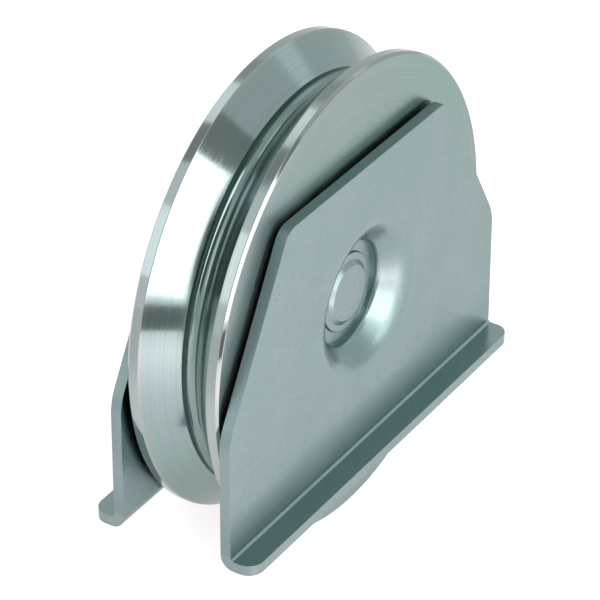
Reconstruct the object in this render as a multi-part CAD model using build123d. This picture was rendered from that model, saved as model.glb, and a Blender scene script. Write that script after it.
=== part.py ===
from build123d import *
from math import asin, cos, degrees, radians, sin, tan
import os

# A steel wheel for a sliding gate. It runs on an angle rail by the groove in its rim, turns on one
# sealed ball bearing, and is carried between two pressed side plates by a riveted axle.
# +X is the direction of travel, +Y the axle, +Z up. The origin is the wheel's centre. Millimetres.

# Wheel: a turned disc with a V groove all round
wheel_diameter = 120.0
wheel_width = 25.0
rim_chamfer = 0.7
rim_land = 2.4
flank_angle = 45.0
relief_width = 4.0
shoulder_height = 2.5
bore_chamfer = 1.0

# Bearing: a sealed deep groove ball bearing, 20 x 47 x 14
bearing_bore = 20.0
bearing_diameter = 47.0
bearing_width = 14.0
bearing_corner = 0.8
ball_count = 8
ball_share = 0.588
race_depth_share = 0.19
race_clearance = 0.02
race_relief = 0.16
seal_seat_step = 1.2
seal_bead = 0.45
seal_thickness = 0.9
seal_web_rise = 0.7
seal_lip_clearance = 0.05

# Cage: two pressed ribbons riveted together between the balls
cage_sheet = 0.6
cage_land_gap = 0.9
pocket_clearance = 0.12
cage_seal_gap = 0.3
cage_rivet_diameter = 1.2
cage_rivet_head = 2.2
cage_rivet_head_height = 0.4

# Retaining ring: holds the bearing against the shoulder in the wheel
ring_thickness = 1.75
ring_groove_play = 0.1
ring_groove_depth = 1.25
ring_seat_clearance = 0.05
ring_section = 3.2
ring_thinning = 0.6
ring_gap_angle = 30.0
ring_lug_radius = 2.4
ring_lug_reach = 3.4
ring_lug_hole = 2.5

# Side plates: bent and pressed sheet, one each side of the wheel
sheet = 2.8
wheel_side_gap = 1.1
plate_length = 122.0
plate_top_length = 71.2
plate_top_height = 37.2
plate_shoulder_drop = 6.5
lip_drop = 39.4
lip_reach = 6.5
lip_bend = 0.8
lip_corner = 4.0
top_corner = 5.0
shoulder_corner = 12.0
plate_edge_round = 0.4

# Dish: pressed into each plate until it clamps the bearing's inner ring
dish_floor_land = 2.8
dish_nose_wall = 1.4
dish_wall_run = 5.7
dish_rim_round = 8.0
dish_nose_round = 2.0
dish_blend_width = 4.0

# Axle: a pin whose ends are riveted over the plates
axle_shoulder = 1.7
axle_edge_break = 0.5
rivet_flange_reach = 2.0
rivet_flange_height = 0.6
rivet_flange_slope = 0.3
rivet_boss_height = 0.9
rivet_boss_chamfer = 1.2

# Places that follow from the sizes above
wheel_radius = wheel_diameter / 2
wheel_face = wheel_width / 2
bearing_face = bearing_width / 2
plate_inner = wheel_face + wheel_side_gap
plate_outer = plate_inner + sheet
axle_radius = bearing_bore / 2
spigot_radius = axle_radius - axle_shoulder
rivet_flange_radius = spigot_radius + rivet_flange_reach
dish_depth = plate_inner - bearing_face
dish_floor = bearing_face + sheet
dish_nose_radius = rivet_flange_radius + dish_floor_land
dish_rim_radius = dish_nose_radius + dish_wall_run
dish_outer_radius = dish_rim_radius + dish_rim_round + dish_blend_width
bearing_section = (bearing_diameter - bearing_bore) / 2
pitch_radius = (bearing_bore + bearing_diameter) / 4
ball_radius = bearing_section * ball_share / 2
race_depth = 2 * ball_radius * race_depth_share
inner_track_radius = pitch_radius - ball_radius - race_clearance
outer_track_radius = pitch_radius + ball_radius + race_clearance
inner_land_radius = inner_track_radius + race_depth
outer_land_radius = outer_track_radius - race_depth
pocket_radius = ball_radius + pocket_clearance
cage_reach = pocket_radius + cage_sheet
cage_inner_radius = inner_land_radius + cage_land_gap
cage_outer_radius = outer_land_radius - cage_land_gap
seal_seat_radius = outer_land_radius + seal_seat_step
seal_side = cage_reach + cage_seal_gap
ball_step = 360 / ball_count


def turned(*points):
    """Solid turned about the axle from (radius, place along the axle) points."""
    section = make_face(Polyline(*points, close=True))
    return revolve(section, Axis.Y)


def disc(radius, low, high):
    """Plain disc on the axle between two places along it."""
    return turned((0, low), (radius, low), (radius, high), (0, high))


def about_axle(shape, angle):
    """The shape turned round the axle."""
    return shape.rotate(Axis.Y, angle)


# Wheel

def rim_section():
    """Half section of the rim outline, with the groove and the round relief at its bottom."""
    mouth = wheel_face - rim_chamfer - rim_land
    relief = relief_width / 2
    flank_foot = wheel_radius - (mouth - relief) / tan(radians(flank_angle))
    shoulder = wheel_face - rim_chamfer
    outline = Polyline(
        (flank_foot, relief),
        (wheel_radius, mouth),
        (wheel_radius, shoulder),
        (wheel_radius - rim_chamfer, wheel_face),
        (0, wheel_face),
        (0, -wheel_face),
        (wheel_radius - rim_chamfer, -wheel_face),
        (wheel_radius, -shoulder),
        (wheel_radius, -mouth),
        (flank_foot, -relief),
    )
    floor = ThreePointArc((flank_foot, -relief), (flank_foot - relief, 0), (flank_foot, relief))
    return make_face([outline, floor])


def make_wheel():
    seat = bearing_diameter / 2
    shoulder = seat - shoulder_height
    groove_end = bearing_face + ring_thickness + ring_groove_play
    hollow = turned(
        (0, -wheel_face),
        (shoulder + bore_chamfer, -wheel_face),
        (shoulder, -wheel_face + bore_chamfer),
        (shoulder, -bearing_face),
        (seat, -bearing_face),
        (seat, bearing_face),
        (seat + ring_groove_depth, bearing_face),
        (seat + ring_groove_depth, groove_end),
        (seat, groove_end),
        (seat, wheel_face - bore_chamfer),
        (seat + bore_chamfer, wheel_face),
        (0, wheel_face),
    )
    return revolve(rim_section(), Axis.Y) - hollow


# Bearing

def race_ring(bottom_radius, outward):
    """Torus of the ball track whose deepest line lies at bottom_radius."""
    track_radius = ball_radius + race_relief
    centre = bottom_radius - track_radius if outward else bottom_radius + track_radius
    return revolve(Pos(centre, 0) * Circle(track_radius), Axis.Y)


def make_bearing_inner_ring():
    body = turned(
        (axle_radius, bearing_corner - bearing_face),
        (axle_radius + bearing_corner, -bearing_face),
        (inner_land_radius, -bearing_face),
        (inner_land_radius, bearing_face),
        (axle_radius + bearing_corner, bearing_face),
        (axle_radius, bearing_face - bearing_corner),
    )
    return body - race_ring(inner_track_radius, outward=False)


def make_bearing_outer_ring():
    rim = bearing_diameter / 2
    bead = seal_seat_radius + seal_bead
    bead_end = seal_side + seal_thickness
    body = turned(
        (outer_land_radius, -seal_side),
        (bead, -seal_side),
        (bead, -bead_end),
        (seal_seat_radius, -bead_end),
        (seal_seat_radius, -bearing_face),
        (rim - bearing_corner, -bearing_face),
        (rim, bearing_corner - bearing_face),
        (rim, bearing_face - bearing_corner),
        (rim - bearing_corner, bearing_face),
        (seal_seat_radius, bearing_face),
        (seal_seat_radius, bead_end),
        (bead, bead_end),
        (bead, seal_side),
        (outer_land_radius, seal_side),
    )
    return body - race_ring(outer_track_radius, outward=True)


def make_bearing_seal():
    """Rubber seal at the +Y end: a bead in the outer ring, a dished web and a lip on the inner ring."""
    lip = inner_land_radius + seal_lip_clearance
    bead = seal_seat_radius + seal_bead
    bead_end = seal_side + seal_thickness
    web_top = bead_end + seal_web_rise
    web_edge = seal_seat_radius - seal_bead
    return turned(
        (lip, seal_side),
        (bead, seal_side),
        (bead, bead_end),
        (web_edge, bead_end),
        (web_edge - seal_thickness, web_top),
        (lip + seal_thickness, web_top),
        (lip + seal_thickness / 2, bead_end),
        (lip, bead_end),
    )


def make_ball(angle):
    centre = Pos(pitch_radius, 0, 0) * Sphere(ball_radius)
    return about_axle(centre, angle)


def make_cage_half():
    """One ribbon, on the +Y side: flat between the balls and bent round each of them."""
    band = disc(cage_outer_radius, 0, cage_reach) - disc(cage_inner_radius, 0, cage_reach)
    flat = disc(cage_outer_radius, 0, cage_sheet) - disc(cage_inner_radius, 0, cage_sheet)
    along_radius = Plane(origin=(0, 0, 0), x_dir=(0, 0, 1), z_dir=(1, 0, 0))
    bend = along_radius * extrude(Circle(cage_reach), outer_land_radius)
    pocket = along_radius * extrude(Circle(pocket_radius), outer_land_radius)
    rivet_hole = Pos(pitch_radius, 0, 0) * disc(cage_rivet_diameter / 2, 0, cage_reach)
    half = flat
    for number in range(ball_count):
        half = half + (band & about_axle(bend, number * ball_step))
    for number in range(ball_count):
        half = half - about_axle(pocket, number * ball_step)
        half = half - about_axle(rivet_hole, (number + 0.5) * ball_step)
    return half


def make_cage_rivet(angle):
    shank = cage_rivet_diameter / 2
    head = cage_rivet_head / 2
    crown = cage_sheet + cage_rivet_head_height
    section = make_face(Polyline(
        (0, -crown),
        (shank, -crown),
        (head, -cage_sheet),
        (shank, -cage_sheet),
        (shank, cage_sheet),
        (head, cage_sheet),
        (shank, crown),
        (0, crown),
        close=True,
    ))
    rivet = Pos(pitch_radius, 0, 0) * revolve(section, Axis.Y)
    return about_axle(rivet, angle)


# Retaining ring

def make_retaining_ring():
    """Open spring ring with two drilled lugs, thicker opposite its gap."""
    outer = bearing_diameter / 2 + ring_groove_depth - ring_seat_clearance
    inner = outer - ring_section
    lug_angle = ring_gap_angle / 2 + degrees(asin(ring_lug_radius / outer))
    lug_centre = outer - ring_lug_reach
    flat_ring = Circle(outer) - Pos(0, ring_thinning) * Circle(inner - ring_thinning / 2)
    gap_reach = 2 * outer
    gap_side = gap_reach * tan(radians(ring_gap_angle / 2))
    gap = make_face(Polyline((0, 0), (-gap_side, gap_reach), (gap_side, gap_reach), close=True))
    lugs = Sketch()
    holes = Sketch()
    for side in (-1, 1):
        turn = radians(90 + side * lug_angle)
        centre = Pos(lug_centre * cos(turn), lug_centre * sin(turn))
        lugs += centre * Circle(ring_lug_radius)
        holes += centre * Circle(ring_lug_hole / 2)
    outline = (flat_ring + lugs - gap - holes) & Circle(outer)
    plate = extrude(outline, ring_thickness)
    return Pos(0, bearing_face + ring_thickness, 0) * Rot(90, 0, 0) * plate


# Side plates

def plate_outline():
    """Outline seen along the axle: upright sides, sloping shoulders and a shorter top edge."""
    half = plate_length / 2
    top_half = plate_top_length / 2
    foot = -lip_drop - sheet - lip_reach
    shape = make_face(Polyline(
        (-half, foot),
        (half, foot),
        (half, -plate_shoulder_drop),
        (top_half, plate_top_height),
        (-top_half, plate_top_height),
        (-half, -plate_shoulder_drop),
        close=True,
    ))
    shoulders = shape.vertices().group_by(Axis.Y)[1]
    shape = fillet(shoulders, shoulder_corner)
    tops = shape.vertices().group_by(Axis.Y)[-1]
    return fillet(tops, top_corner)


def bent_sheet():
    """Sheet with its lower edge bent outwards into the lip, on the -Y side.

    The air beside the plate and above the lip is grown by one sheet, which leaves the bent sheet
    as a skin round it. The air reaches past the cut edges, so that only the wanted skin is kept.
    """
    lip_end = -plate_outer - lip_reach
    past_end = lip_end - sheet
    past_top = plate_top_height + sheet
    air = make_face(Polyline(
        (-plate_outer, past_top),
        (-plate_outer, -lip_drop),
        (past_end, -lip_drop),
        (past_end, past_top),
        close=True,
    ))
    corner = air.vertices().sort_by_distance((-plate_outer, -lip_drop))[0]
    air = fillet(corner, lip_bend)
    skin = offset(air, sheet, kind=Kind.ARC) - air
    foot = -lip_drop - sheet
    keep = make_face(Polyline(
        (lip_end, foot),
        (-plate_inner, foot),
        (-plate_inner, plate_top_height),
        (lip_end, plate_top_height),
        close=True,
    ))
    section = Plane.YZ * (skin & keep)
    return extrude(section, plate_length / 2, both=True)


def dish_section():
    """Section of the pressed dish: (radius, depth from the plate's outer face).

    The air over the plate and in the hollow is grown by one sheet, as for the lip.
    """
    past_end = dish_outer_radius + sheet
    past_top = -dish_depth
    wall_foot = dish_depth - dish_nose_wall
    air = make_face(Polyline(
        (0, past_top),
        (past_end, past_top),
        (past_end, 0),
        (dish_rim_radius, 0),
        (dish_nose_radius, wall_foot),
        (dish_nose_radius, dish_depth),
        (0, dish_depth),
        close=True,
    ))
    rim = air.vertices().sort_by_distance((dish_rim_radius, 0))[0]
    air = fillet(rim, dish_rim_round)
    nose = air.vertices().sort_by_distance((dish_nose_radius, wall_foot))[0]
    air = fillet(nose, dish_nose_round)
    skin = offset(air, sheet, kind=Kind.ARC) - air
    keep = make_face(Polyline(
        (spigot_radius, 0),
        (dish_outer_radius, 0),
        (dish_outer_radius, dish_depth + sheet),
        (spigot_radius, dish_depth + sheet),
        close=True,
    ))
    return skin & keep


def is_sheared(face):
    """True on the cut edges of the sheet, False on its two surfaces and its bend."""
    middle = face.center()
    least_lean = sin(radians(5))
    sideways = abs(face.normal_at(middle).X) > least_lean
    at_top = middle.Z > plate_top_height - plate_edge_round
    at_lip_end = middle.Y < plate_edge_round - plate_outer - lip_reach
    return sideways or at_top or at_lip_end


def make_side_plate():
    """The plate on the -Y side, with its lip, its dish and the hole for the axle."""
    outline = Plane.XZ * plate_outline()
    blank = extrude(outline, plate_outer + lip_reach)
    body = bent_sheet() & blank
    lip_ends = body.edges().filter_by(Axis.Z).group_by(Axis.Y)[0]
    body = fillet(lip_ends, lip_corner)
    sheared = body.faces().filter_by(is_sheared)
    surfaces = body.faces().filter_by(is_sheared, reverse=True)
    rim = [edge for edge in sheared.edges() if edge in surfaces.edges()]
    body = fillet(rim, plate_edge_round)
    dish = revolve(Pos(0, -plate_outer) * dish_section(), Axis.Y)
    return body - disc(dish_outer_radius, -plate_outer, -plate_inner) + dish


# Axle

def make_axle_pin():
    flange_top = dish_floor + rivet_flange_height
    boss_top = flange_top + rivet_boss_height
    half = [
        (axle_radius, bearing_face - axle_edge_break),
        (axle_radius - axle_edge_break, bearing_face),
        (spigot_radius, bearing_face),
        (spigot_radius, dish_floor),
        (rivet_flange_radius, dish_floor),
        (rivet_flange_radius - rivet_flange_slope, flange_top),
        (spigot_radius, flange_top),
        (spigot_radius - rivet_boss_chamfer, boss_top),
        (0, boss_top),
    ]
    other_half = [(radius, -place) for radius, place in reversed(half)]
    return turned(*half, *other_half)


def save(shape, node):
    export_step(shape, f"parts/{node}.step")


os.makedirs("parts", exist_ok=True)

front_side_plate = make_side_plate()
front_seal_side = mirror(make_bearing_seal(), about=Plane.XZ)
cage_back = make_cage_half()
rivets = [make_cage_rivet((number + 0.5) * ball_step) for number in range(ball_count)]

save(front_side_plate, "front_side_plate")
save(mirror(front_side_plate, about=Plane.XZ), "back_side_plate")
save(make_axle_pin(), "axle_pin")
save(make_wheel(), "wheel")
save(make_retaining_ring(), "retaining_ring")
save(make_bearing_outer_ring(), "bearing_outer_ring")
save(make_bearing_inner_ring(), "bearing_inner_ring")
save(front_seal_side, "bearing_seal_front")
save(make_bearing_seal(), "bearing_seal_back")
save(mirror(cage_back, about=Plane.XZ), "bearing_cage_front")
save(cage_back, "bearing_cage_back")
save(Compound(children=rivets), "bearing_cage_rivets")
for number in range(ball_count):
    save(make_ball(number * ball_step), f"bearing_ball_{number + 1}")
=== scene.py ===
"""Looks of a steel sliding gate wheel between its two pressed side plates.

All lengths are in metres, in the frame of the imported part: +X is the direction of travel, +Y runs
along the axle from the front plate to the back plate, +Z is up, and the origin is the wheel's centre.
"""

import logging
import math
from dataclasses import dataclass
from enum import Enum

import bmesh
import bpy
from mathutils import Matrix, Vector


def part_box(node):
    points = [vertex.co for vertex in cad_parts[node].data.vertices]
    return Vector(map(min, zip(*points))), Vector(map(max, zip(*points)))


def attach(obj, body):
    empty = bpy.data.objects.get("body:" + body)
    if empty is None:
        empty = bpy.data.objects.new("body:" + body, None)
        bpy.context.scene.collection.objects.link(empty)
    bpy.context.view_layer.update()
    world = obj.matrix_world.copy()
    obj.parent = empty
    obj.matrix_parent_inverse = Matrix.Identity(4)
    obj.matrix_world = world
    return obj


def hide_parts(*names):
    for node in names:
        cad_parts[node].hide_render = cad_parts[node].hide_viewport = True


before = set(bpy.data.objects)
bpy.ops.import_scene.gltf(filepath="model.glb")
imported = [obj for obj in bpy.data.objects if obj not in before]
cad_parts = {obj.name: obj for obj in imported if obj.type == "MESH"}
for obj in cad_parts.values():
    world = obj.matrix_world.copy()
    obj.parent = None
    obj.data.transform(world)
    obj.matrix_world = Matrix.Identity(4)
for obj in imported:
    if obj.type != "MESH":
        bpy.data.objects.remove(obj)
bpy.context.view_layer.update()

log = logging.getLogger("gate_wheel")

MM = 0.001
NEAR = 0.01 * MM
MERGE = 0.0001 * MM
PLATE_GAP = 1.1 * MM
AXLE = Vector((0, 1, 0))
ORIGIN = Vector((0, 0, 0))

Socket = bpy.types.NodeSocket
Colour = tuple[float, float, float]
Value = Socket | float | Colour
Band = tuple[float, float]
Profile = list[tuple[float, float]]
Corners = list[bmesh.types.BMVert]
Edges = list[bmesh.types.BMEdge]


class Slot(Enum):
    """Material slots of the record."""

    SHEET = "plated_sheet"
    AXLE = "axle_steel"
    TURNED = "turned_steel"
    SPRING = "spring_steel"
    BEARING = "bearing_steel"
    CAGE = "cage_steel"
    SEAL = "seal_rubber"


class Body(Enum):
    """Rigid bodies of the part."""

    BRACKET = "bracket"
    WHEEL = "rolling_wheel"
    CAGE = "ball_cage"


class Tree:
    """The nodes of a material or of the world, added with short calls.

    FIRST, SECOND and MIXED are the numbers of a Mix node's sockets when it mixes colours.
    """

    FIRST = 6
    SECOND = 7
    MIXED = 2

    def __init__(self, owner: bpy.types.Material | bpy.types.World) -> None:
        """Empty the node tree.

        Args:
            owner: Material or world that holds the tree.
        """
        owner.use_nodes = True
        self.owner = owner
        self.nodes = owner.node_tree.nodes
        self.links = owner.node_tree.links
        self.nodes.clear()

    @classmethod
    def of_material(cls, name: str) -> "Tree":
        """Start the tree of a new material with this name."""
        return cls(bpy.data.materials.new(name))

    def add(self, kind: str, inputs: dict | None = None, **settings: str) -> bpy.types.Node:
        """Add a node, set its options and fill or link its inputs.

        Args:
            kind: Node type without its ShaderNode prefix.
            inputs: Socket name or number to a value or to another node's output.
            settings: Options of the node itself.

        Returns:
            The new node.
        """
        node = self.nodes.new("ShaderNode" + kind)
        for option, value in settings.items():
            setattr(node, option, value)
        for key, value in (inputs or {}).items():
            socket = node.inputs[key]
            if isinstance(value, Socket):
                self.links.new(value, socket)
            else:
                socket.default_value = value
        return node

    def math(self, operation: str, *values: Value) -> Socket:
        """Add a Math node over values or sockets and return its output."""
        inputs = dict(enumerate(values))
        return self.add("Math", inputs, operation=operation).outputs[0]

    def vector(self, operation: str, *values: Value) -> Socket:
        """Add a Vector Math node over values or sockets and return its vector."""
        inputs = dict(enumerate(values))
        return self.add("VectorMath", inputs, operation=operation).outputs[0]

    def noise(self, place: Socket, scale: float, detail: float, roughness: float = 0.5) -> Socket:
        """Add a Noise Texture.

        Args:
            place: Socket that gives the point.
            scale: Features to the metre.
            detail: Number of finer layers.
            roughness: Weight of the finer layers.

        Returns:
            The noise value, about 0.5 on average.
        """
        inputs = {"Vector": place, "Scale": scale, "Detail": detail, "Roughness": roughness}
        return self.add("TexNoise", inputs).outputs[0]

    def spread(self, value: Socket, low: float, high: float, to_low: float, to_high: float) -> Socket:
        """Map a value from one range to another, held at the ends.

        Args:
            value: Socket to map.
            low: Value that becomes to_low.
            high: Value that becomes to_high.
            to_low: Result at low.
            to_high: Result at high.

        Returns:
            The mapped value.
        """
        inputs = {"Value": value, "From Min": low, "From Max": high, "To Min": to_low, "To Max": to_high}
        return self.add("MapRange", inputs).outputs[0]

    def blend(self, share: Value, first: Value, second: Value) -> Socket:
        """Mix two colours.

        Args:
            share: Socket or number, 0 for the first colour and 1 for the second.
            first: Colour or socket.
            second: Colour or socket.

        Returns:
            The mixed colour.
        """
        node = self.add("Mix", {"Factor": share}, data_type="RGBA")
        for number, value in ((self.FIRST, first), (self.SECOND, second)):
            socket = node.inputs[number]
            if isinstance(value, Socket):
                self.links.new(value, socket)
            else:
                socket.default_value = (*value, 1)
        return node.outputs[self.MIXED]

    def scaled(self, colour: Socket, factor: Socket) -> Socket:
        """Add a Vector Math node that scales a colour and return the result."""
        return self.add("VectorMath", {0: colour, "Scale": factor}, operation="SCALE").outputs[0]

    def radius(self, place: Socket) -> Socket:
        """Measure how far a point lies from the axle.

        Args:
            place: Surface point.

        Returns:
            The distance.
        """
        x, _, z = self.add("SeparateXYZ", {0: place}).outputs
        squares = self.math("ADD", self.math("MULTIPLY", x, x), self.math("MULTIPLY", z, z))
        return self.math("SQRT", squares)

    def squareness(self, axis: str) -> Socket:
        """Measure how squarely the surface faces along an axis, either way.

        Args:
            axis: X, Y or Z.

        Returns:
            1 where the surface is square to the axis and 0 where it runs along it.
        """
        outward = self.add("TexCoord").outputs["Normal"]
        return self.math("ABSOLUTE", self.add("SeparateXYZ", {0: outward}).outputs[axis])

    def bump(self, height: Socket, depth: float, under: Socket | None = None) -> Socket:
        """Add a Bump node.

        Args:
            height: Height of the pattern, from 0 to 1.
            depth: Length that a height of 1 stands for.
            under: Normal that the bump lies on, or None for the surface's own.

        Returns:
            The bumped normal.
        """
        inputs = {"Height": height, "Distance": depth, "Strength": 1.0}
        if under is not None:
            inputs["Normal"] = under
        return self.add("Bump", inputs).outputs[0]

    def surface(self, shader: Socket) -> bpy.types.Material:
        """Link the shader to the material's output and return the material."""
        self.add("OutputMaterial", {"Surface": shader})
        return self.owner


def object_place(tree: Tree) -> Socket:
    """Return the surface point in the piece's own frame."""
    return tree.add("TexCoord").outputs["Object"]


@dataclass(frozen=True)
class PlatedSheet:
    """Bright zinc on pressed sheet: satin, faintly clouded, and coarser on its sheared edges."""

    name: str = "zinc_on_sheet"
    tint: Colour = (0.226, 0.324, 0.322)
    cloud_tint: Colour = (0.246, 0.34, 0.343)
    grain_tint: Colour = (0.195, 0.288, 0.29)
    roughness: float = 0.26
    roughness_play: float = 0.04
    clouds_per_metre: float = 55
    grains_per_metre: float = 1500
    peel_per_metre: float = 420
    peel_depth: float = 0.012 * MM
    grain_depth: float = 0.004 * MM
    sheared_roughness: float = 0.2
    sheared_tint: Colour = (0.205, 0.28, 0.286)
    shear_marks: tuple[float, float, float] = (2600, 160, 2600)
    shear_depth: float = 0.008 * MM
    flat_radius: float = 31 * MM
    lip_top: float = -38.2 * MM
    drawn_roughness: float = 0.15
    drawn_low: float = -34 * MM
    drawn_high: float = -27 * MM
    edge_band: Band = (0.5, 0.75)
    end_least: float = 0.3
    cloud_band: Band = (0.38, 0.64)
    dulled_band: Band = (0.35, 0.65)
    grain_band: Band = (0.5, 0.72)
    grain_share: float = 0.75
    mark_band: Band = (0.35, 0.65)
    mark_least: float = 0.6

    def sheared(self, tree: Tree, place: Socket) -> Socket:
        """Mask the sheared edges, without the sheet's sides, its dish and the lip's faces.

        Args:
            tree: Material's tree.
            place: Surface point.

        Returns:
            1 on the sheared edges and 0 elsewhere.
        """
        edge = tree.spread(tree.squareness("Y"), *self.edge_band, 1, 0)
        endwise = tree.math("GREATER_THAN", tree.squareness("X"), self.end_least)
        outside = tree.math("GREATER_THAN", tree.radius(place), self.flat_radius)
        height = tree.add("SeparateXYZ", {0: place}).outputs["Z"]
        above = tree.math("GREATER_THAN", height, self.lip_top)
        cut = tree.math("MAXIMUM", above, endwise)
        return tree.math("MULTIPLY", edge, tree.math("MULTIPLY", outside, cut))

    def drawn(self, tree: Tree, place: Socket) -> Socket:
        """Dull the zinc above the bend, where bending drew the sheet.

        Args:
            tree: Material's tree.
            place: Surface point.

        Returns:
            The roughness gained, 0 on the lip and far above the bend.
        """
        height = tree.add("SeparateXYZ", {0: place}).outputs["Z"]
        gain = tree.spread(height, self.drawn_low, self.drawn_high, self.drawn_roughness, 0)
        return tree.math("MULTIPLY", gain, tree.math("GREATER_THAN", height, self.lip_top))

    def material(self) -> bpy.types.Material:
        """Build the finish.

        Returns:
            The material.
        """
        tree = Tree.of_material(self.name)
        place = object_place(tree)
        sheared = self.sheared(tree, place)
        marks = tree.noise(tree.vector("MULTIPLY", place, self.shear_marks), 1, 2)
        clouds = tree.noise(place, self.clouds_per_metre, 4, 0.6)
        grain = tree.noise(place, self.grains_per_metre, 3, 0.6)
        peel = tree.noise(place, self.peel_per_metre, 2)
        cloudy = tree.blend(tree.spread(clouds, *self.cloud_band, 0, 1), self.tint, self.cloud_tint)
        grainy = tree.spread(grain, *self.grain_band, 0, self.grain_share)
        plain = tree.blend(grainy, cloudy, self.grain_tint)
        marked = tree.math("MULTIPLY", sheared, tree.spread(marks, *self.mark_band, self.mark_least, 1))
        colour = tree.blend(marked, plain, self.sheared_tint)
        low = self.roughness - self.roughness_play
        high = self.roughness + self.roughness_play
        rolled_rough = tree.spread(clouds, *self.dulled_band, high, low)
        sheared_rough = tree.math("MULTIPLY", sheared, self.sheared_roughness)
        rough = tree.math("ADD", rolled_rough, sheared_rough)
        rough = tree.math("ADD", rough, self.drawn(tree, place))
        torn = tree.bump(tree.math("MULTIPLY", sheared, marks), self.shear_depth)
        peeled = tree.bump(peel, self.peel_depth, torn)
        shader = tree.add("BsdfPrincipled", {
            "Base Color": colour,
            "Metallic": 1.0,
            "Roughness": rough,
            "Normal": tree.bump(grain, self.grain_depth, peeled),
        })
        return tree.surface(shader.outputs[0])


@dataclass(frozen=True)
class TurnedFinish:
    """Turned steel: fine rings round the axle that stretch its highlights across them."""

    name: str
    tint: Colour
    hue_tint: Colour
    roughness: float
    roughness_play: float
    stretch: float
    ring_shade: float = 0.07
    hues_per_metre: float = 16
    hue_shift: tuple[float, float, float] = (0.3, 0, 0)
    face_roughness: float = 0.0
    rings_per_metre: float = 1500
    ring_depth: float = 0.001 * MM
    rim_tint: Colour | None = None
    rim_radius: float = 59.4 * MM
    # Painted shade: a darker colour in the relief at the bottom of the groove, standing for the shade
    # that falls in that recess.
    relief_painted_shade: Colour | None = None
    relief_half: float = 2.1 * MM
    waver: float = 0.25 * MM
    waver_per_metre: float = 14
    clouds_per_metre: float = 60
    cloud_play: float = 0.03
    stretch_turn: float = 0.25
    hue_band: Band = (0.36, 0.64)
    shade_band: Band = (0.36, 0.66)
    rough_band: Band = (0.3, 0.7)
    face_band: Band = (0.85, 0.97)

    def material(self) -> bpy.types.Material:
        """Build the finish.

        Returns:
            The material.
        """
        tree = Tree.of_material(self.name)
        place = object_place(tree)
        y = tree.add("SeparateXYZ", {0: place}).outputs["Y"]
        radius = tree.radius(place)
        drift = tree.noise(place, self.waver_per_metre, 1)
        shift = tree.math("MULTIPLY", drift, self.waver)
        across = tree.add("CombineXYZ", {0: tree.math("ADD", radius, shift), 1: y}).outputs[0]
        rings = tree.noise(across, self.rings_per_metre, 3, 0.6)
        clouds = tree.noise(place, self.clouds_per_metre, 3)
        hues = tree.noise(tree.vector("ADD", place, self.hue_shift), self.hues_per_metre, 2)
        hued = tree.blend(tree.spread(hues, *self.hue_band, 0, 1), self.tint, self.hue_tint)
        if self.rim_tint:
            hued = tree.blend(tree.math("GREATER_THAN", radius, self.rim_radius), hued, self.rim_tint)
        # Painted shade: the relief at the bottom of the groove takes a darker colour, standing for the
        # shade in that recess.
        if self.relief_painted_shade:
            relief = tree.math("LESS_THAN", tree.math("ABSOLUTE", y), self.relief_half)
            hued = tree.blend(relief, hued, self.relief_painted_shade)
        colour = tree.scaled(hued, tree.spread(rings, *self.shade_band, 1, 1 - self.ring_shade))
        low = self.roughness - self.roughness_play
        high = self.roughness + self.roughness_play
        ring_rough = tree.spread(rings, *self.rough_band, low, high)
        cloud_rough = tree.spread(clouds, *self.rough_band, -self.cloud_play, self.cloud_play)
        face_rough = tree.spread(tree.squareness("Y"), *self.face_band, 0, self.face_roughness)
        rough = tree.math("ADD", tree.math("ADD", ring_rough, cloud_rough), face_rough)
        along = tree.vector("NORMALIZE", tree.vector("CROSS_PRODUCT", tuple(AXLE), place))
        tangent = tree.add("VectorTransform", {0: along}, convert_from="OBJECT", convert_to="WORLD")
        shader = tree.add("BsdfPrincipled", {
            "Base Color": colour,
            "Metallic": 1.0,
            "Roughness": rough,
            "Anisotropic": self.stretch,
            "Anisotropic Rotation": self.stretch_turn,
            "Tangent": tangent.outputs[0],
            "Normal": tree.bump(rings, self.ring_depth),
        })
        return tree.surface(shader.outputs[0])


@dataclass(frozen=True)
class PlainMetal:
    """Small steel pieces with a fine even grain."""

    name: str
    tint: Colour
    roughness: float
    roughness_play: float
    grains_per_metre: float = 900
    grain_depth: float = 0.003 * MM
    grain_shade: float = 0.12
    tint_band: Band = (0.35, 0.65)
    rough_band: Band = (0.3, 0.7)

    def material(self) -> bpy.types.Material:
        """Build the finish.

        Returns:
            The material.
        """
        tree = Tree.of_material(self.name)
        grain = tree.noise(object_place(tree), self.grains_per_metre, 3, 0.6)
        dark = tuple(part * (1 - self.grain_shade) for part in self.tint)
        colour = tree.blend(tree.spread(grain, *self.tint_band, 0, 1), self.tint, dark)
        low = self.roughness - self.roughness_play
        high = self.roughness + self.roughness_play
        shader = tree.add("BsdfPrincipled", {
            "Base Color": colour,
            "Metallic": 1.0,
            "Roughness": tree.spread(grain, *self.rough_band, low, high),
            "Normal": tree.bump(grain, self.grain_depth),
        })
        return tree.surface(shader.outputs[0])


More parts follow.
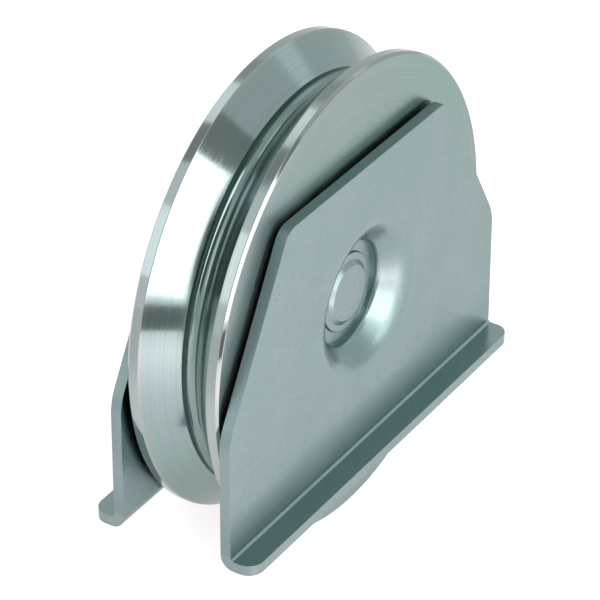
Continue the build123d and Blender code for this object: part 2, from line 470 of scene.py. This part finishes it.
@dataclass(frozen=True)
class SealRubber:
    """Matt black moulded rubber of the bearing's seals."""

    name: str = "moulded_rubber"
    tint: Colour = (0.018, 0.018, 0.02)
    bloom_tint: Colour = (0.04, 0.04, 0.042)
    roughness: float = 0.55
    roughness_play: float = 0.08
    grains_per_metre: float = 1200
    grain_depth: float = 0.006 * MM
    bloom_band: Band = (0.4, 0.7)
    rough_band: Band = (0.3, 0.7)

    def material(self) -> bpy.types.Material:
        """Build the finish.

        Returns:
            The material.
        """
        tree = Tree.of_material(self.name)
        grain = tree.noise(object_place(tree), self.grains_per_metre, 4, 0.65)
        bloom = tree.spread(grain, *self.bloom_band, 0, 1)
        low = self.roughness - self.roughness_play
        high = self.roughness + self.roughness_play
        shader = tree.add("BsdfPrincipled", {
            "Base Color": tree.blend(bloom, self.tint, self.bloom_tint),
            "Roughness": tree.spread(grain, *self.rough_band, low, high),
            "Normal": tree.bump(grain, self.grain_depth),
        })
        return tree.surface(shader.outputs[0])


Finish = PlatedSheet | TurnedFinish | PlainMetal | SealRubber


def arc(centre: tuple[float, float], radius: float, start: float, end: float, steps: int) -> Profile:
    """Lay the points of an arc in a profile.

    Args:
        centre: Radius and place of the arc's centre.
        radius: Radius of the arc.
        start: Angle of the first point in degrees, from the direction of growing radius.
        end: Angle of the last point in degrees.
        steps: Number of pieces.

    Returns:
        The points, both ends included.
    """
    turns = [math.radians(start + (end - start) * step / steps) for step in range(steps + 1)]
    return [(centre[0] + radius * math.cos(turn), centre[1] + radius * math.sin(turn)) for turn in turns]


def round_edges(mesh: bmesh.types.BMesh, edges: Edges, size: float, segments: int) -> None:
    """Round the given edges with bevels.

    Args:
        mesh: Mesh to change.
        edges: Its edges to round.
        size: Width that each rounding takes from the faces beside it.
        segments: Faces across each rounding.
    """
    bmesh.ops.bevel(
        mesh,
        geom=edges,
        offset=size,
        offset_type="OFFSET",
        segments=segments,
        profile=0.5,
        affect="EDGES",
        material=-1,
        clamp_overlap=True,
    )


def finished(mesh: bmesh.types.BMesh, name: str, crease: float = 35) -> bpy.types.Object:
    """Turn a finished mesh into an object in the scene, smooth apart from its creases.

    Args:
        mesh: Mesh, which is freed.
        name: Name of the piece.
        crease: Angle in degrees past which an edge stays sharp.

    Returns:
        The object.
    """
    data = bpy.data.meshes.new(name)
    mesh.to_mesh(data)
    mesh.free()
    data.polygons.foreach_set("use_smooth", [True] * len(data.polygons))
    data.set_sharp_from_angle(angle=math.radians(crease))
    piece = bpy.data.objects.new(name, data)
    bpy.context.scene.collection.objects.link(piece)
    weigh = piece.modifiers.new("even shading", "WEIGHTED_NORMAL")
    weigh.keep_sharp = True
    return piece


def dress(piece: bpy.types.Object, finish: Finish) -> None:
    """Give a piece its finish.

    Args:
        piece: Piece to dress, new or a node of the frame.
        finish: Finish that builds the material.
    """
    material = bpy.data.materials.get(finish.name) or finish.material()
    piece.data.materials.clear()
    piece.data.materials.append(material)


def mount(piece: bpy.types.Object, finish: Finish, body: Body, node: str) -> None:
    """Dress a new piece, fix it to its body and let it stand for a node.

    Args:
        piece: New piece.
        finish: Finish that builds the material.
        body: Body that carries the piece.
        node: Node of the frame that the piece replaces.
    """
    dress(piece, finish)
    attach(piece, body.value)
    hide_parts(node)
    log.info("%s: %d faces on %s", piece.name, len(piece.data.polygons), body.value)


@dataclass
class Turning:
    """A piece turned about the axle from a closed profile of (radius, place) points."""

    name: str
    profile: Profile
    edge_round: float = 0.15 * MM
    round_segments: int = 3
    steps: int = 288
    least_corner: float = 18

    def build(self) -> bpy.types.Object:
        """Spin the profile, close it and round its corners.

        Returns:
            The turned piece.
        """
        mesh = bmesh.new()
        corners = [mesh.verts.new((radius, place, 0)) for radius, place in self.profile]
        sides = []
        for first, second in zip(corners, corners[1:] + corners[:1]):
            if first.co.x > 0 or second.co.x > 0:
                sides.append(mesh.edges.new((first, second)))
        bmesh.ops.spin(
            mesh,
            geom=corners + sides,
            cent=ORIGIN,
            axis=AXLE,
            angle=math.tau,
            steps=self.steps,
            use_merge=True,
        )
        bmesh.ops.remove_doubles(mesh, verts=mesh.verts, dist=MERGE)
        bmesh.ops.recalc_face_normals(mesh, faces=mesh.faces)
        least = math.radians(self.least_corner)
        sharp = [edge for edge in mesh.edges if edge.is_manifold and edge.calc_face_angle() > least]
        round_edges(mesh, sharp, self.edge_round, self.round_segments)
        return finished(mesh, self.name)


@dataclass
class Wheel:
    """The grooved wheel: a turned disc with a V groove, a relief and a stepped bore."""

    finish: TurnedFinish
    radius: float
    face: float
    chamfer: float = 0.7 * MM
    land: float = 2.4 * MM
    relief: float = 2.0 * MM
    seat: float = 23.5 * MM
    shoulder: float = 21.0 * MM
    bore_chamfer: float = 1.0 * MM
    ring_groove: float = 24.75 * MM
    ring_groove_end: float = 8.85 * MM
    bearing_face: float = 7.0 * MM

    def floor(self) -> Profile:
        """Return the round relief at the bottom of the groove, from its -Y edge to its +Y edge."""
        foot = self.radius - (self.face - self.chamfer - self.land - self.relief)
        return arc((foot, 0), self.relief, 270, 90, 24)

    def profile(self) -> Profile:
        """Work out the wheel's whole section.

        Returns:
            Its points, (radius, place).
        """
        mouth = self.face - self.chamfer - self.land
        step = self.face - self.chamfer
        return [
            (self.radius - self.chamfer, -self.face),
            (self.radius, -step),
            (self.radius, -mouth),
            *self.floor(),
            (self.radius, mouth),
            (self.radius, step),
            (self.radius - self.chamfer, self.face),
            (self.seat + self.bore_chamfer, self.face),
            (self.seat, self.face - self.bore_chamfer),
            (self.seat, self.ring_groove_end),
            (self.ring_groove, self.ring_groove_end),
            (self.ring_groove, self.bearing_face),
            (self.seat, self.bearing_face),
            (self.seat, -self.bearing_face),
            (self.shoulder, -self.bearing_face),
            (self.shoulder, self.bore_chamfer - self.face),
            (self.shoulder + self.bore_chamfer, -self.face),
        ]

    def build(self) -> None:
        """Build, dress and mount the wheel."""
        piece = Turning("wheel_turned", self.profile(), edge_round=0.12 * MM).build()
        mount(piece, self.finish, Body.WHEEL, "wheel")


@dataclass
class SidePlate:
    """A pressed side plate: flat sheet with a lip bent outwards and a dish pressed inwards."""

    finish: PlatedSheet
    outer: float
    half_length: float
    top: float
    lip_end: float
    sheet: float = 2.8 * MM
    top_half: float = 35.6 * MM
    shoulder_drop: float = 6.5 * MM
    lip_drop: float = 39.4 * MM
    lip_bend: float = 0.8 * MM
    lip_corner: float = 4.0 * MM
    top_corner: float = 5.0 * MM
    shoulder_corner: float = 12.0 * MM
    edge_round: float = 0.4 * MM
    dish_depth: float = 6.6 * MM
    hole: float = 8.3 * MM
    nose: float = 13.1 * MM
    nose_wall: float = 1.4 * MM
    nose_round: float = 2.0 * MM
    wall_run: float = 5.7 * MM
    rim_round: float = 8.0 * MM
    blend: float = 4.0 * MM
    steps: int = 180
    cut_angle: float = 60
    crease: float = 40

    def dish_profile(self) -> Profile:
        """Work out the dish's visible side.

        Returns:
            Its points, (radius, place), from the flat sheet to the axle's hole.
        """
        wall_foot = self.dish_depth - self.nose_wall
        slope = math.atan2(wall_foot, self.wall_run)
        rim = self.nose + self.wall_run
        rim_start = rim + self.rim_round * math.tan(slope / 2)
        turn = 90 - math.degrees(slope)
        rim_arc = arc((rim_start, self.rim_round), self.rim_round, -90, -90 - math.degrees(slope), 10)
        nose_middle = self.nose + self.nose_round
        nose_start = wall_foot + self.nose_round * math.tan(math.radians(turn) / 2)
        nose_arc = arc((nose_middle, nose_start), self.nose_round, -90 - math.degrees(slope), -180, 6)
        points = [
            (rim + self.rim_round + self.blend, 0),
            *rim_arc,
            *nose_arc,
            (self.nose, self.dish_depth),
            (self.hole, self.dish_depth),
        ]
        return [(radius, depth - self.outer) for radius, depth in points]

    def dish(self, mesh: bmesh.types.BMesh) -> Edges:
        """Spin the dish into the mesh.

        Args:
            mesh: Mesh to add to.

        Returns:
            The edges of the dish's outer circle.
        """
        corners = [mesh.verts.new((radius, place, 0)) for radius, place in self.dish_profile()]
        sides = [mesh.edges.new(pair) for pair in zip(corners, corners[1:])]
        bmesh.ops.spin(
            mesh,
            geom=corners + sides,
            cent=ORIGIN,
            axis=AXLE,
            angle=math.tau,
            steps=self.steps,
            use_merge=True,
        )
        bmesh.ops.remove_doubles(mesh, verts=mesh.verts, dist=MERGE)
        wide = self.nose + self.wall_run + self.rim_round + self.blend / 2
        return [edge for edge in mesh.edges if edge.is_boundary and edge.verts[0].co.xz.length > wide]

    def rounded(self, mesh: bmesh.types.BMesh, corners: Corners, radius: float, turn: float) -> None:
        """Round flat corners of a face.

        Args:
            mesh: Mesh that holds the face.
            corners: Vertices to round.
            radius: Radius of the rounding.
            turn: Angle in radians that the outline turns by at the corners.
        """
        bmesh.ops.bevel(
            mesh,
            geom=corners,
            offset=radius * math.tan(turn / 2),
            offset_type="OFFSET",
            segments=10,
            profile=0.5,
            affect="VERTICES",
            material=-1,
            clamp_overlap=True,
        )

    def outline(self, mesh: bmesh.types.BMesh) -> None:
        """Draw the flat sheet's outline with round corners, in the plane of its outer side.

        Args:
            mesh: Mesh to add to.
        """
        foot = self.lip_bend - self.lip_drop
        places = [
            (-self.half_length, foot),
            (self.half_length, foot),
            (self.half_length, -self.shoulder_drop),
            (self.top_half, self.top),
            (-self.top_half, self.top),
            (-self.half_length, -self.shoulder_drop),
        ]
        corners = [mesh.verts.new((x, -self.outer, z)) for x, z in places]
        mesh.faces.new(corners)
        lean = math.atan2(self.half_length - self.top_half, self.top + self.shoulder_drop)
        self.rounded(mesh, [corners[2], corners[5]], self.shoulder_corner, lean)
        tops = [vertex for vertex in mesh.verts if vertex.co.z > self.top - NEAR]
        self.rounded(mesh, tops, self.top_corner, math.pi / 2 - lean)
        flat = next(face for face in mesh.faces if len(face.verts) > len(places))
        bmesh.ops.delete(mesh, geom=[flat], context="FACES_ONLY")

    def lip(self, mesh: bmesh.types.BMesh) -> None:
        """Bend the lip out of the sheet's lower edge.

        Args:
            mesh: Mesh that holds the flat sheet.
        """
        foot = self.lip_bend - self.lip_drop
        low = [edge for edge in mesh.edges if all(vertex.co.z < foot + NEAR for vertex in edge.verts)]
        bent = bmesh.ops.spin(
            mesh,
            geom=low + list(low[0].verts),
            cent=(0, -self.outer - self.lip_bend, foot),
            axis=(1, 0, 0),
            angle=-math.pi / 2,
            steps=8,
        )
        edge = [item for item in bent["geom_last"] if isinstance(item, bmesh.types.BMEdge)]
        flat = bmesh.ops.extrude_edge_only(mesh, edges=edge)
        ends = [item for item in flat["geom"] if isinstance(item, bmesh.types.BMVert)]
        reach = -self.lip_end - ends[0].co.y
        bmesh.ops.translate(mesh, verts=ends, vec=(0, reach, 0))
        self.rounded(mesh, ends, self.lip_corner, math.pi / 2)

    def skin(self) -> bmesh.types.BMesh:
        """Build the sheet's outer side, from the dish to the lip.

        Returns:
            The mesh, one layer of faces without thickness.
        """
        mesh = bmesh.new()
        circle = self.dish(mesh)
        sheet = bmesh.new()
        self.outline(sheet)
        spare = bpy.data.meshes.new("outline")
        sheet.to_mesh(spare)
        sheet.free()
        mesh.from_mesh(spare)
        bpy.data.meshes.remove(spare)
        loose = [edge for edge in mesh.edges if edge.is_wire]
        bmesh.ops.triangle_fill(mesh, edges=loose + circle, use_beauty=True)
        self.lip(mesh)
        bmesh.ops.remove_doubles(mesh, verts=mesh.verts, dist=MERGE)
        bmesh.ops.recalc_face_normals(mesh, faces=mesh.faces)
        return mesh

    def cut_edges(self, mesh: bmesh.types.BMesh) -> Edges:
        """Find the edges along the sheet's cut outline.

        Args:
            mesh: The closed sheet.

        Returns:
            The edges on both sides of the sheet.
        """
        wide = self.nose + self.wall_run + self.rim_round + self.blend
        found = []
        for edge in mesh.edges:
            if edge.is_manifold and edge.calc_face_angle() > math.radians(self.cut_angle):
                middle = (edge.verts[0].co + edge.verts[1].co) / 2
                if middle.xz.length > wide:
                    found.append(edge)
        return found

    def build(self, mirrored: bool) -> None:
        """Build, dress and mount a plate.

        Args:
            mirrored: True for the back plate, False for the front one.
        """
        side = "back" if mirrored else "front"
        mesh = self.skin()
        flat = max(mesh.faces, key=lambda face: face.calc_area() * abs(face.normal.y))
        if flat.normal.y > 0:
            bmesh.ops.reverse_faces(mesh, faces=mesh.faces)
        bmesh.ops.solidify(mesh, geom=mesh.faces[:], thickness=self.sheet)
        bmesh.ops.recalc_face_normals(mesh, faces=mesh.faces)
        round_edges(mesh, self.cut_edges(mesh), self.edge_round, segments=4)
        if mirrored:
            bmesh.ops.scale(mesh, vec=(1, -1, 1), verts=mesh.verts)
            bmesh.ops.recalc_face_normals(mesh, faces=mesh.faces)
        piece = finished(mesh, f"{side}_plate_pressed", self.crease)
        mount(piece, self.finish, Body.BRACKET, f"{side}_side_plate")


@dataclass
class AxlePin:
    """The axle: a pin with a spigot through each plate, riveted over it."""

    finish: TurnedFinish
    core: float = 10.0 * MM
    core_end: float = 7.0 * MM
    edge_break: float = 0.5 * MM
    spigot: float = 8.3 * MM
    dish_floor: float = 9.8 * MM
    flange: float = 10.3 * MM
    flange_height: float = 0.6 * MM
    flange_slope: float = 0.3 * MM
    boss_height: float = 0.9 * MM
    boss_chamfer: float = 1.2 * MM

    def profile(self) -> Profile:
        """Work out the whole section.

        Returns:
            Its points, (radius, place), from one end to the other.
        """
        flange_top = self.dish_floor + self.flange_height
        boss_top = flange_top + self.boss_height
        half = [
            (self.core, self.core_end - self.edge_break),
            (self.core - self.edge_break, self.core_end),
            (self.spigot, self.core_end),
            (self.spigot, self.dish_floor),
            (self.flange, self.dish_floor),
            (self.flange - self.flange_slope, flange_top),
            (self.spigot, flange_top),
            (self.spigot - self.boss_chamfer, boss_top),
            (0, boss_top),
        ]
        return half + [(radius, -place) for radius, place in reversed(half)]

    def build(self) -> None:
        """Build, dress and mount the axle."""
        piece = Turning("axle_riveted", self.profile(), steps=144).build()
        mount(piece, self.finish, Body.BRACKET, "axle_pin")


@dataclass
class Bearing:
    """The sealed ball bearing: two rings and two seals, with the balls and cage of the frame."""

    ring_finish: TurnedFinish
    ball_finish: PlainMetal
    cage_finish: PlainMetal
    seal_finish: SealRubber
    bore: float = 10.0 * MM
    rim: float = 23.5 * MM
    face: float = 7.0 * MM
    corner: float = 0.8 * MM
    balls: int = 8
    pitch: float = 16.75 * MM
    ball: float = 3.969 * MM
    clearance: float = 0.02 * MM
    relief: float = 0.16 * MM
    race_depth: float = 1.508 * MM
    seat_step: float = 1.2 * MM
    bead: float = 0.45 * MM
    seal: float = 0.9 * MM
    web_rise: float = 0.7 * MM
    lip_clearance: float = 0.05 * MM
    seal_side: float = 4.989 * MM
    ring_round: float = 0.08 * MM
    ring_corner: float = 22
    seal_round: float = 0.12 * MM

    def track(self, outward: bool) -> Profile:
        """Work out the ball track of a ring.

        Args:
            outward: True for the outer ring's track.

        Returns:
            Its points, from the -Y edge to the +Y edge.
        """
        track = self.ball + self.relief
        sign = 1 if outward else -1
        bottom = self.pitch + sign * (self.ball + self.clearance)
        land = bottom - sign * self.race_depth
        centre = bottom - sign * track
        reach = math.degrees(math.acos((land - centre) * sign / track))
        middle = 0 if outward else 180
        return arc((centre, 0), track, middle - sign * reach, middle + sign * reach, 24)

    def inner_profile(self) -> Profile:
        """Work out the inner ring's section.

        Returns:
            Its points, (radius, place).
        """
        track = self.track(outward=False)
        land = track[0][0]
        return [
            (self.bore, self.corner - self.face),
            (self.bore + self.corner, -self.face),
            (land, -self.face),
            *track,
            (land, self.face),
            (self.bore + self.corner, self.face),
            (self.bore, self.face - self.corner),
        ]

    def outer_profile(self) -> Profile:
        """Work out the outer ring's section.

        Returns:
            Its points, (radius, place).
        """
        track = self.track(outward=True)
        land = track[0][0]
        seat = land + self.seat_step
        bead_end = self.seal_side + self.seal
        front = [
            (land, -self.seal_side),
            (seat + self.bead, -self.seal_side),
            (seat + self.bead, -bead_end),
            (seat, -bead_end),
            (seat, -self.face),
            (self.rim - self.corner, -self.face),
            (self.rim, self.corner - self.face),
        ]
        back = [(radius, -place) for radius, place in reversed(front)]
        return front + back + track[::-1]

    def seal_profile(self) -> Profile:
        """Work out the section of the seal at the +Y end.

        Returns:
            Its points, (radius, place).
        """
        lip = self.track(outward=False)[0][0] + self.lip_clearance
        seat = self.track(outward=True)[0][0] + self.seat_step
        bead_end = self.seal_side + self.seal
        web_top = bead_end + self.web_rise
        return [
            (lip, self.seal_side),
            (seat + self.bead, self.seal_side),
            (seat + self.bead, bead_end),
            (seat - self.bead, bead_end),
            (seat - self.bead - self.seal, web_top),
            (lip + self.seal, web_top),
            (lip + self.seal / 2, bead_end),
            (lip, bead_end),
        ]

    def ring(self, name: str, profile: Profile) -> bpy.types.Object:
        """Turn one of the bearing's rings.

        Args:
            name: Name of the ring.
            profile: Its section.

        Returns:
            The turned ring.
        """
        ring = Turning(name, profile, self.ring_round, round_segments=2, steps=180)
        ring.least_corner = self.ring_corner
        return ring.build()

    def build(self) -> None:
        """Build the rings and seals, and dress the balls and the cage of the frame."""
        outer = self.ring("bearing_outer_turned", self.outer_profile())
        mount(outer, self.ring_finish, Body.WHEEL, "bearing_outer_ring")
        inner = self.ring("bearing_inner_turned", self.inner_profile())
        mount(inner, self.ring_finish, Body.BRACKET, "bearing_inner_ring")
        for side, sign in (("front", -1), ("back", 1)):
            profile = [(radius, sign * place) for radius, place in self.seal_profile()]
            seal = Turning(f"seal_{side}_moulded", profile, self.seal_round, steps=144).build()
            mount(seal, self.seal_finish, Body.WHEEL, f"bearing_seal_{side}")
        for number in range(self.balls):
            dress(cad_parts[f"bearing_ball_{number + 1}"], self.ball_finish)
        for node in ("bearing_cage_front", "bearing_cage_back", "bearing_cage_rivets"):
            dress(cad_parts[node], self.cage_finish)
        log.info("balls and cage: dressed")


def direction(azimuth: float, elevation: float) -> Vector:
    """Work out the way from the origin to a place in the studio.

    Args:
        azimuth: Angle in degrees, 0 towards -Y and 90 towards +X.
        elevation: Angle in degrees above the horizontal.

    Returns:
        The unit vector.
    """
    turn, lift = math.radians(azimuth), math.radians(elevation)
    level = math.cos(lift)
    return Vector((math.sin(turn) * level, -math.cos(turn) * level, math.sin(lift)))


def facing(away: Vector) -> Matrix:
    """Return the rotation whose +Z axis points along away, with +Y as upright as can be."""
    return away.to_track_quat("Z", "Y").to_matrix().to_4x4()


@dataclass(frozen=True)
class SoftBox:
    """A large soft lamp that faces the object."""

    name: str
    azimuth: float
    elevation: float
    half_width: float
    half_height: float
    radiance: float
    tint: Colour = (1, 1, 1)
    distance: float = 2.0

    def build(self) -> None:
        """Hang the lamp, at an angular size given by its half width and half height in degrees."""
        width = 2 * self.distance * math.tan(math.radians(self.half_width))
        height = 2 * self.distance * math.tan(math.radians(self.half_height))
        lamp = bpy.data.lights.new(self.name, "AREA")
        lamp.shape = "RECTANGLE"
        lamp.size = width
        lamp.size_y = height
        lamp.energy = self.radiance * math.pi * width * height
        lamp.color = self.tint
        hung = bpy.data.objects.new(self.name, lamp)
        away = direction(self.azimuth, self.elevation)
        hung.matrix_world = Matrix.Translation(away * self.distance) @ facing(away)
        hung.visible_camera = False
        bpy.context.scene.collection.objects.link(hung)


@dataclass(frozen=True)
class Card:
    """A grey or black card that only reflections see, as a studio flag stands out of the picture."""

    name: str
    azimuth: float
    elevation: float
    half_width: float
    half_height: float
    radiance: float
    tint: Colour = (1, 1, 1)
    distance: float = 1.9

    def build(self) -> None:
        """Hang the card, at an angular size given by its half width and half height in degrees."""
        mesh = bmesh.new()
        bmesh.ops.create_grid(mesh, x_segments=1, y_segments=1, size=1)
        width = self.distance * math.tan(math.radians(self.half_width))
        height = self.distance * math.tan(math.radians(self.half_height))
        bmesh.ops.scale(mesh, vec=(width, height, 1), verts=mesh.verts)
        away = direction(self.azimuth, self.elevation)
        turn = Matrix.Translation(away * self.distance) @ facing(away)
        bmesh.ops.transform(mesh, matrix=turn, verts=mesh.verts)
        tree = Tree.of_material(self.name)
        glow = tree.add("Emission", {"Color": (*self.tint, 1), "Strength": self.radiance})
        stand(mesh, self.name, tree.surface(glow.outputs[0]))


def stand(mesh: bmesh.types.BMesh, name: str, material: bpy.types.Material) -> bpy.types.Object:
    """Put up a stage piece that only reflections see, until the caller shows it to more.

    Args:
        mesh: Mesh, which is freed.
        name: Name of the stage piece.
        material: Its material.

    Returns:
        The stage piece.
    """
    data = bpy.data.meshes.new(name)
    mesh.to_mesh(data)
    mesh.free()
    data.materials.append(material)
    card = bpy.data.objects.new(name, data)
    bpy.context.scene.collection.objects.link(card)
    card.visible_camera = False
    card.visible_diffuse = False
    card.visible_shadow = False
    card.visible_transmission = False
    card.visible_volume_scatter = False
    return card


def seen_directly(tree: Tree) -> Socket:
    """Tell rays from the camera, off a gloss or through glass from the others.

    Args:
        tree: Tree of the floor or of the world.

    Returns:
        1 for such rays and 0 for the others.
    """
    path = tree.add("LightPath").outputs
    gloss = tree.math("MAXIMUM", path["Is Glossy Ray"], path["Is Transmission Ray"])
    return tree.math("MAXIMUM", path["Is Camera Ray"], gloss)


@dataclass(frozen=True)
class PaintedPool:
    """A pool of painted light on the floor: extra glow in the floor's colour, not light from a lamp."""

    azimuth: float
    distance: float
    radius: float
    glow: float

    def share(self, tree: Tree, flat: Socket) -> Socket:
        """Work out the pool's light at a point.

        Args:
            tree: The floor's tree.
            flat: Surface point with its height left out.

        Returns:
            The light, which fades softly to 0 at the pool's edge.
        """
        middle = direction(self.azimuth, 0) * self.distance
        away = tree.add("VectorMath", {0: flat, 1: tuple(middle)}, operation="DISTANCE").outputs["Value"]
        inputs = {"Value": away, "From Min": self.radius, "From Max": 0, "To Min": 0, "To Max": self.glow}
        return tree.add("MapRange", inputs, interpolation_type="SMOOTHSTEP").outputs[0]


@dataclass(frozen=True)
class Floor:
    """A pale floor that keeps the object's soft shadow, carries pools of painted light and can be looked
    through from below.
    """

    height: float
    half_size: float = 5.0
    albedo: float = 0.8
    glow: float = 0.34
    paper_glow: float = 0.16
    # Pools of painted light: glow in the floor's colour that the camera and reflections see.
    pools: tuple[PaintedPool, ...] = (
        PaintedPool(-34, 0.18, 0.14, 1.1),
        PaintedPool(-30, 0.5, 0.6, 1.4),
        PaintedPool(-15, 0.18, 0.1, 1.4),
        PaintedPool(-107, 0.12, 0.1, 0.35),
        PaintedPool(160, 0.36, 0.36, 1.5),
    )
    pool_tint: Colour = (1.0, 0.72, 0.76)

    def build(self) -> None:
        """Lay the floor."""
        mesh = bmesh.new()
        bmesh.ops.create_grid(mesh, x_segments=1, y_segments=1, size=self.half_size)
        bmesh.ops.translate(mesh, vec=(0, 0, self.height), verts=mesh.verts)
        tree = Tree.of_material("pale_floor")
        matt = tree.add("BsdfDiffuse", {"Color": (self.albedo, self.albedo, self.albedo, 1)})
        flat = tree.vector("MULTIPLY", object_place(tree), (1, 1, 0))
        # Painted light: the pools' glow is added to the floor's even glow.
        pooled = 0.0
        for pool in self.pools:
            pooled = tree.math("ADD", pooled, pool.share(tree, flat))
        inputs = {0: self.pool_tint, 1: pooled, 2: (self.glow, self.glow, self.glow)}
        light = tree.add("VectorMath", inputs, operation="MULTIPLY_ADD").outputs[0]
        glow = tree.add("Emission", {"Color": light, "Strength": seen_directly(tree)})
        in_view = tree.add("LightPath").outputs["Is Camera Ray"]
        paper = tree.add("Emission", {"Strength": tree.math("MULTIPLY", in_view, self.paper_glow)})
        lit = tree.add("AddShader", {0: glow.outputs[0], 1: paper.outputs[0]})
        top = tree.add("AddShader", {0: matt.outputs[0], 1: lit.outputs[0]})
        below = tree.add("NewGeometry").outputs["Backfacing"]
        clear = tree.add("BsdfTransparent")
        both = tree.add("MixShader", {0: below, 1: top.outputs[0], 2: clear.outputs[0]})
        floor = stand(mesh, "floor", tree.surface(both.outputs[0]))
        floor.visible_camera = True
        floor.visible_diffuse = True
        floor.visible_shadow = True
        floor.visible_transmission = True


@dataclass(frozen=True)
class World:
    """White to the camera and in reflections, and a softer light for everything else."""

    ambient: float = 0.6

    def build(self) -> None:
        """Set the world's shader."""
        world = bpy.data.worlds.new("studio")
        bpy.context.scene.world = world
        tree = Tree(world)
        strength = tree.spread(seen_directly(tree), 0, 1, self.ambient, 1)
        light = tree.add("Background", {"Color": (1, 1, 1, 1), "Strength": strength})
        tree.add("OutputWorld", {"Surface": light.outputs[0]})


@dataclass(frozen=True)
class PhotoCamera:
    """The camera at the photo's place, from a fit to the photo's edges."""

    azimuth: float = -58.12
    elevation: float = 32.35
    roll: float = 0.18
    right: float = 2.38 * MM
    up: float = 4.86 * MM
    distance: float = 838.43 * MM
    focal_pixels: float = 3481
    image_pixels: float = 600
    sensor: float = 36

    def build(self) -> None:
        """Make the camera and give it to the scene."""
        lens = bpy.data.cameras.new("camera")
        lens.sensor_width = self.sensor
        lens.lens = self.focal_pixels * self.sensor / self.image_pixels
        camera = bpy.data.objects.new("camera", lens)
        back = direction(self.azimuth, self.elevation)
        level = (-back).cross(Vector((0, 0, 1))).normalized()
        turned = Matrix.Rotation(math.radians(self.roll), 3, back)
        right = turned @ level
        upward = turned @ level.cross(-back)
        spot = back * self.distance - right * self.right - upward * self.up
        axes = Matrix((right, upward, back)).transposed().to_4x4()
        camera.matrix_world = Matrix.Translation(spot) @ axes
        bpy.context.scene.collection.objects.link(camera)
        bpy.context.scene.camera = camera


@dataclass
class Studio:
    """Floor, world, lamps, cards and camera."""

    floor: Floor
    lamps: tuple[SoftBox, ...] = (
        SoftBox("key_lamp", -26.5, 25, 20, 30, 3.65, (1.0, 0.84, 0.86)),
        SoftBox("side_fill", 7, 12, 16, 18, 1.75, (1.0, 0.9, 0.92)),
        SoftBox("left_lamp", -120, 27, 9, 14, 0.85),
        SoftBox("left_fill", -124, 28, 16, 30, 0.3, distance=2.1),
        SoftBox("rear_lamp", 157, 58.5, 10, 6.5, 0.8),
        SoftBox("lip_lamp", 67, 36, 10, 12, 0.35),
    )
    cards: tuple[Card, ...] = (
        Card("grey_card", 60, 28, 43, 32, 0.86, distance=2.2),
        Card("dark_flag", 7, 46, 8, 14, 0.42),
        Card("low_flag", -46, -3.9, 14, 4.7, 0.34, distance=0.22),
        Card("camera_flag", -66, 35, 18, 24, 0.22),
        Card("rear_flag", -162, 61, 8.5, 8, 0.5),
        Card("side_card", 122, 9, 14, 29, 0.9),
        Card("top_card", 130, 45, 11, 6.5, 0.66),
    )

    def build(self) -> None:
        """Set the whole studio up."""
        World().build()
        self.floor.build()
        for piece in self.lamps + self.cards:
            piece.build()
            log.info("%s: up", piece.name)
        PhotoCamera().build()
        bpy.context.scene.view_settings.view_transform = "Standard"


def make_finishes() -> dict[str, Finish]:
    """Choose the finish of each kind of piece.

    Returns:
        The finishes by what they are on.
    """
    return {
        "sheet": PlatedSheet(),
        "wheel": TurnedFinish(
            "turned_wheel",
            tint=(0.235, 0.35, 0.335),
            hue_tint=(0.278, 0.35, 0.358),
            roughness=0.12,
            roughness_play=0.03,
            stretch=0.5,
            face_roughness=0.17,
            rim_tint=(0.3, 0.36, 0.365),
            # Painted shade in the relief at the bottom of the groove.
            relief_painted_shade=(0.18, 0.255, 0.25),
        ),
        "axle": TurnedFinish(
            "riveted_axle",
            tint=(0.25, 0.34, 0.352),
            hue_tint=(0.28, 0.352, 0.368),
            roughness=0.26,
            roughness_play=0.05,
            stretch=0.2,
        ),
        "ring": TurnedFinish(
            "ground_rings",
            tint=(0.55, 0.55, 0.56),
            hue_tint=(0.53, 0.53, 0.54),
            roughness=0.12,
            roughness_play=0.04,
            stretch=0.5,
        ),
        "ball": PlainMetal("polished_balls", (0.62, 0.62, 0.63), 0.07, 0.02, grain_shade=0.03),
        "cage": PlainMetal("pressed_cage", (0.42, 0.41, 0.39), 0.33, 0.07),
        "spring": PlainMetal("black_spring_steel", (0.045, 0.042, 0.042), 0.38, 0.08),
        "seal": SealRubber(),
    }


def main() -> None:
    """Build every piece, dress it, and set the studio up."""
    logging.basicConfig(level=logging.INFO, format="%(name)s: %(message)s")
    finishes = make_finishes()
    wheel_low, wheel_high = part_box("wheel")
    plate_low, plate_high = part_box("front_side_plate")
    Wheel(finishes["wheel"], radius=wheel_high.x, face=wheel_high.y).build()
    plate = SidePlate(
        finishes["sheet"],
        outer=wheel_high.y + PLATE_GAP + SidePlate.sheet,
        half_length=plate_high.x,
        top=plate_high.z,
        lip_end=-plate_low.y,
    )
    plate.build(mirrored=False)
    plate.build(mirrored=True)
    AxlePin(finishes["axle"]).build()
    Bearing(finishes["ring"], finishes["ball"], finishes["cage"], finishes["seal"]).build()
    dress(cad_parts["retaining_ring"], finishes["spring"])
    Studio(Floor(height=wheel_low.z)).build()


if __name__ == "__main__":
    main()
